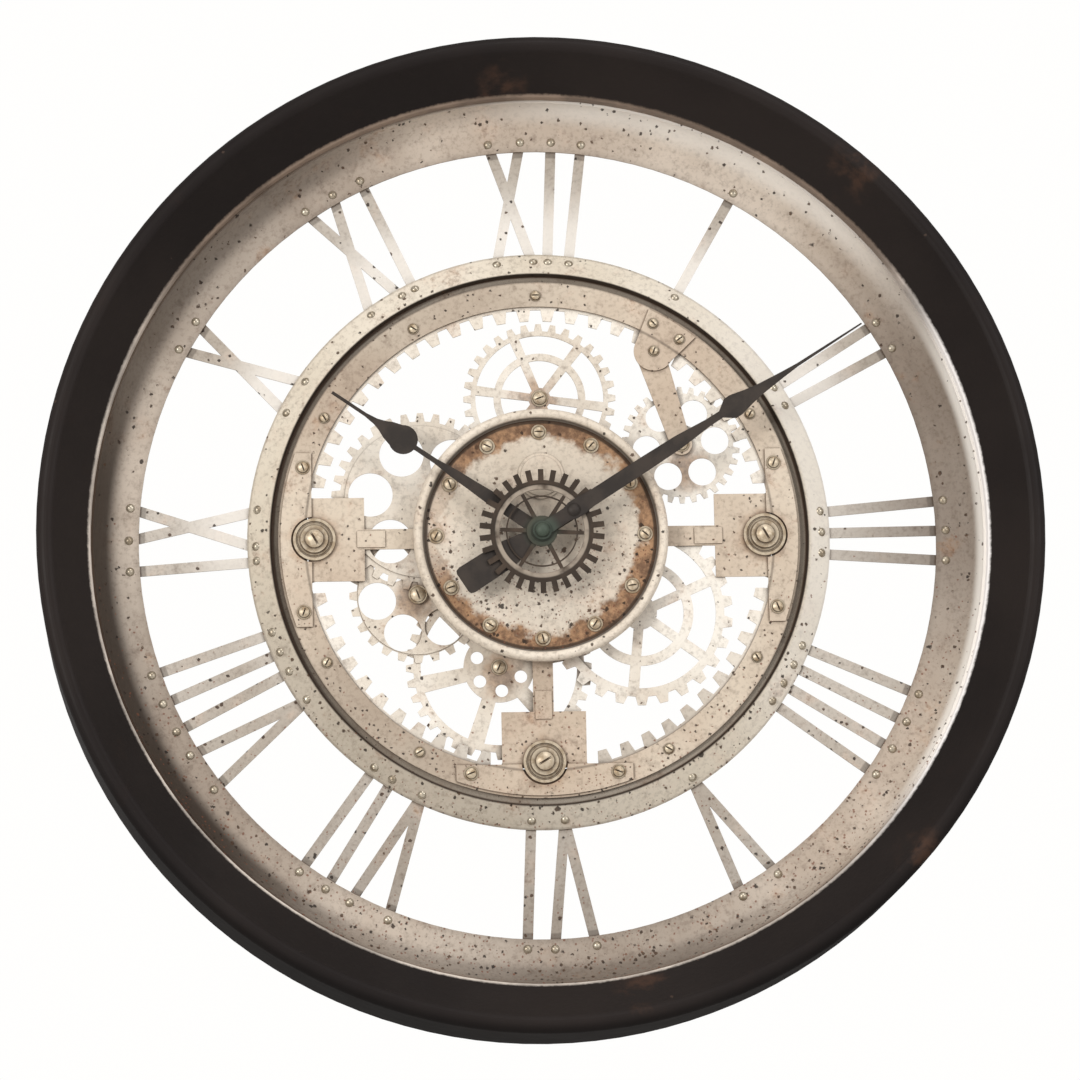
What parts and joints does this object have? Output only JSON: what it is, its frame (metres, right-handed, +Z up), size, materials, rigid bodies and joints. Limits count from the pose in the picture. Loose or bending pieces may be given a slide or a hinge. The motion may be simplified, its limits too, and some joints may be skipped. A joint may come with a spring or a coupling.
{
  "type": "wall clock",
  "caption": "Round open-dial wall clock: deep dark rim, riveted numerals on pale rings, display gear plates round a centre drum, and two dark hands.",
  "frame": {"origin": "on the axis of the hands, in the plane of the wall behind the clock", "axes": "+Y points into the wall and the dial faces -Y; +Z is up, towards the numeral for twelve; +X is to the right as seen from the front"},
  "size_m": [0.823, 0.106, 0.823],
  "materials": {
    "rim_paint": "aged near-black brown paint, satin, rubbed to rust in places",
    "dial_paint": "distressed cream paint, matt, speckled with rust",
    "gear_paint": "distressed pale cream paint, matt, brown in the edges",
    "bar_paint": "distressed grey beige paint, matt, speckled",
    "aged_steel": "aged steel, dull, brown round the edges",
    "hand_paint": "dark bronze paint, matt, lightly worn",
    "plain_steel": "plain bright steel",
    "case_plastic": "black moulded plastic, fine grain",
    "wheel_plastic": "white acetal",
    "turned_brass": "turned brass",
    "washer_rubber": "black rubber",
    "cell_wrap": "printed film wrap, plain",
    "board_green": "green circuit laminate",
    "coil_copper": "enamelled copper wire"
  },
  "bodies": {
    "clock_body": {"outer_rim": "rim_paint", "dial_pan": "dial_paint", "chapter_ring": "dial_paint", "numeral_1": "bar_paint", "numeral_2": "bar_paint", "numeral_3": "bar_paint", "numeral_4": "bar_paint", "numeral_5": "bar_paint", "numeral_6": "bar_paint", "numeral_7": "bar_paint", "numeral_8": "bar_paint", "numeral_9": "bar_paint", "numeral_10": "bar_paint", "numeral_11": "bar_paint", "numeral_12": "bar_paint", "outer_rivets": "aged_steel", "inner_rivets": "aged_steel", "frame_ring": "gear_paint", "toothed_ring": "gear_paint", "frame_screws": "aged_steel", "side_plates": "gear_paint", "left_bridge": "gear_paint", "right_bridge": "gear_paint", "bottom_bridge": "gear_paint", "pivot_bolts": "aged_steel", "tab_plate": "gear_paint", "tab_arm": "gear_paint", "top_gear": "gear_paint", "upper_left_gear": "gear_paint", "lower_left_gear": "gear_paint", "bottom_gear": "gear_paint", "lower_right_gear": "gear_paint", "upper_right_gear": "gear_paint", "gear_screws": "aged_steel", "centre_pan": "dial_paint", "centre_bezel": "dial_paint", "centre_screws": "aged_steel", "boss_plate": "dial_paint", "movement_case": "case_plastic", "movement_cover": "case_plastic", "mounting_bushing": "turned_brass", "bushing_nut": "turned_brass", "rubber_washer": "washer_rubber", "battery": "cell_wrap", "battery_contacts": "plain_steel", "circuit_board": "board_green", "coil_stator": "coil_copper", "hanger_plate": "plain_steel"},
    "minute_body": {"minute_hand": "hand_paint", "hand_tail": "hand_paint", "hub_gear": "hand_paint", "hand_nut": "hand_paint", "minute_arbor": "plain_steel"},
    "hour_body": {"hour_hand": "hand_paint", "hour_wheel": "wheel_plastic"},
    "minute_wheel_body": {"minute_wheel": "wheel_plastic"},
    "knob_body": {"setting_knob": "wheel_plastic"},
    "centre_wheel_body": {"centre_wheel": "wheel_plastic"},
    "intermediate_body": {"intermediate_wheel": "wheel_plastic"},
    "rotor_body": {"rotor": "plain_steel"}
  },
  "joints": [
    {"name": "minute_spin", "type": "hinge", "parent": "clock_body", "child": "minute_body", "pos_m": [0, -0.038, 0], "axis": [0, 1, 0], "continuous": true},
    {"name": "hour_spin", "type": "hinge", "parent": "clock_body", "child": "hour_body", "pos_m": [0, -0.038, 0], "axis": [0, 1, 0], "continuous": true},
    {"name": "minute_wheel_spin", "type": "hinge", "parent": "clock_body", "child": "minute_wheel_body", "pos_m": [0.0065, -0.038, 0.00375], "axis": [0, 1, 0], "continuous": true},
    {"name": "knob_spin", "type": "hinge", "parent": "clock_body", "child": "knob_body", "pos_m": [0.0108, -0.038, 0.00989], "axis": [0, 1, 0], "continuous": true},
    {"name": "rotor_spin", "type": "hinge", "parent": "clock_body", "child": "rotor_body", "pos_m": [-0.00964, -0.038, 0.00977], "axis": [0, 1, 0], "continuous": true},
    {"name": "intermediate_spin", "type": "hinge", "parent": "clock_body", "child": "intermediate_body", "pos_m": [-0.00846, -0.038, 0.00308], "axis": [0, 1, 0], "continuous": true},
    {"name": "centre_wheel_spin", "type": "hinge", "parent": "clock_body", "child": "centre_wheel_body", "pos_m": [0, -0.038, 0], "axis": [0, 1, 0], "continuous": true}
  ],
  "couplings": [
    {"joint": "hour_spin", "follows": "minute_spin", "ratio": 0.083333},
    {"joint": "minute_wheel_spin", "follows": "minute_spin", "ratio": -0.33333},
    {"joint": "knob_spin", "follows": "minute_spin", "ratio": 1},
    {"joint": "intermediate_spin", "follows": "rotor_spin", "ratio": -0.13333},
    {"joint": "centre_wheel_spin", "follows": "rotor_spin", "ratio": 0.016667}
  ]
}
